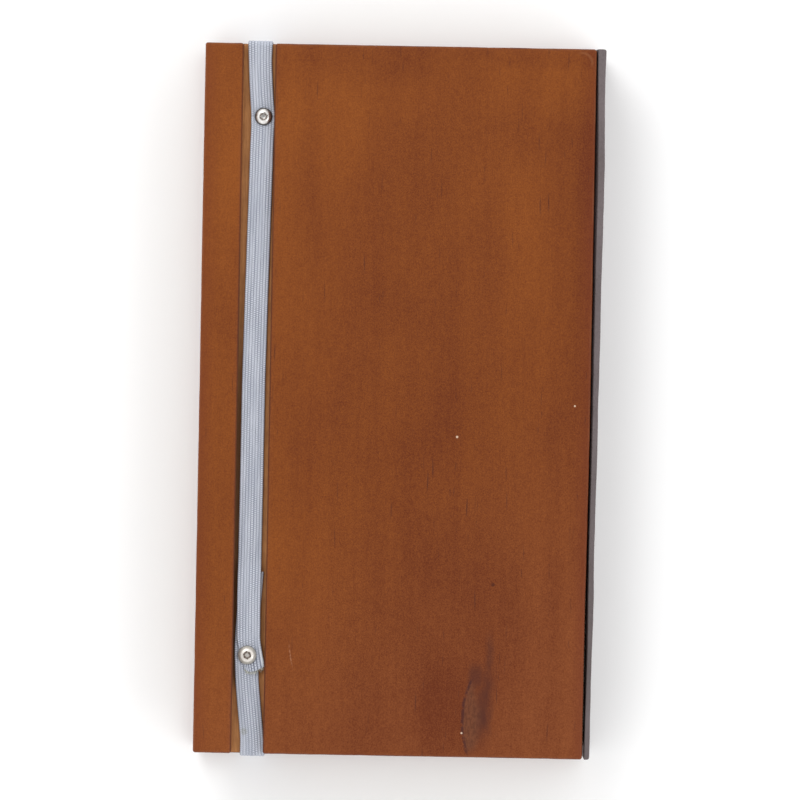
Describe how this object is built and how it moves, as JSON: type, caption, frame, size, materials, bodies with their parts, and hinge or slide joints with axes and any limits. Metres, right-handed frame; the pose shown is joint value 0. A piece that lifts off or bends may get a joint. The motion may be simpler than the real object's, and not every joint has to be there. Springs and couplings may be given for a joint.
{
  "type": "wedding guest book",
  "caption": "Sewn guest book with stained pine covers, a grey leather spine strap and a braided elastic closure screwed into a groove in the back cover.",
  "frame": {"origin": "bottom centre of the closed book, which lies on its front cover", "axes": "+Z out of the back cover, +Y towards the head, +X towards the spine"},
  "size_m": [0.122, 0.2196, 0.0302],
  "materials": {
    "stained_pine": "satin brown stain",
    "grey_leather": "matt grey",
    "endpaper": "uncoated ivory",
    "page_paper": "uncoated ivory",
    "lining_cloth": "open cotton weave",
    "linen_thread": "waxed",
    "screw_steel": "bright zinc",
    "insert_brass": "turned",
    "braided_elastic": "light grey braid"
  },
  "bodies": {
    "front_cover": {"front_cover_board": "stained_pine", "strap_on_front_cover": "grey_leather", "front_pastedown": "endpaper", "front_flyleaf": "endpaper", "signature_1": "page_paper", "signature_2": "page_paper", "signature_3": "page_paper", "signature_4": "page_paper"},
    "spine": {"strap_spine_panel": "grey_leather", "spine_lining": "lining_cloth", "sewing_threads": "linen_thread", "signature_5_fold": "page_paper"},
    "back_cover": {"back_cover_board": "stained_pine", "strap_on_back_cover": "grey_leather", "back_pastedown": "endpaper", "back_flyleaf": "endpaper", "signature_6": "page_paper", "signature_7": "page_paper", "signature_8": "page_paper", "signature_9": "page_paper", "upper_screw": "screw_steel", "lower_screw": "screw_steel", "upper_insert": "insert_brass", "lower_insert": "insert_brass", "elastic_back_run": "braided_elastic", "elastic_closure_loop": "braided_elastic"},
    "leaf_1": {"signature_5_leaf_1": "page_paper"},
    "leaf_2": {"signature_5_leaf_2": "page_paper"},
    "leaf_3": {"signature_5_leaf_3": "page_paper"},
    "leaf_4": {"signature_5_leaf_4": "page_paper"}
  },
  "joints": [
    {"name": "front_hinge", "type": "hinge", "parent": "front_cover", "child": "spine", "pos_m": [0.061, 0, 0.008], "axis": [0, 1, 0], "range_deg": [0, 90], "deforming": ["elastic_closure_loop"]},
    {"name": "back_hinge", "type": "hinge", "parent": "spine", "child": "back_cover", "pos_m": [0.061, 0, 0.02215], "axis": [0, 1, 0], "range_deg": [0, 90]},
    {"name": "leaf_1_turn", "type": "hinge", "parent": "spine", "child": "leaf_1", "pos_m": [0.05208, 0, 0.01448], "axis": [0, 1, 0], "range_deg": [-88, 0]},
    {"name": "leaf_2_turn", "type": "hinge", "parent": "spine", "child": "leaf_2", "pos_m": [0.05167, 0, 0.01487], "axis": [0, 1, 0], "range_deg": [-84, 0]},
    {"name": "leaf_3_turn", "type": "hinge", "parent": "spine", "child": "leaf_3", "pos_m": [0.05167, 0, 0.01528], "axis": [0, 1, 0], "range_deg": [0, 84]},
    {"name": "leaf_4_turn", "type": "hinge", "parent": "spine", "child": "leaf_4", "pos_m": [0.05208, 0, 0.01568], "axis": [0, 1, 0], "range_deg": [0, 88]}
  ],
  "couplings": [
    {"joint": "back_hinge", "follows": "front_hinge", "ratio": 1},
    {"joint": "leaf_1_turn", "follows": "front_hinge", "ratio": -0.9777},
    {"joint": "leaf_2_turn", "follows": "front_hinge", "ratio": -0.9333},
    {"joint": "leaf_3_turn", "follows": "front_hinge", "ratio": 0.9333},
    {"joint": "leaf_4_turn", "follows": "front_hinge", "ratio": 0.9777}
  ]
}
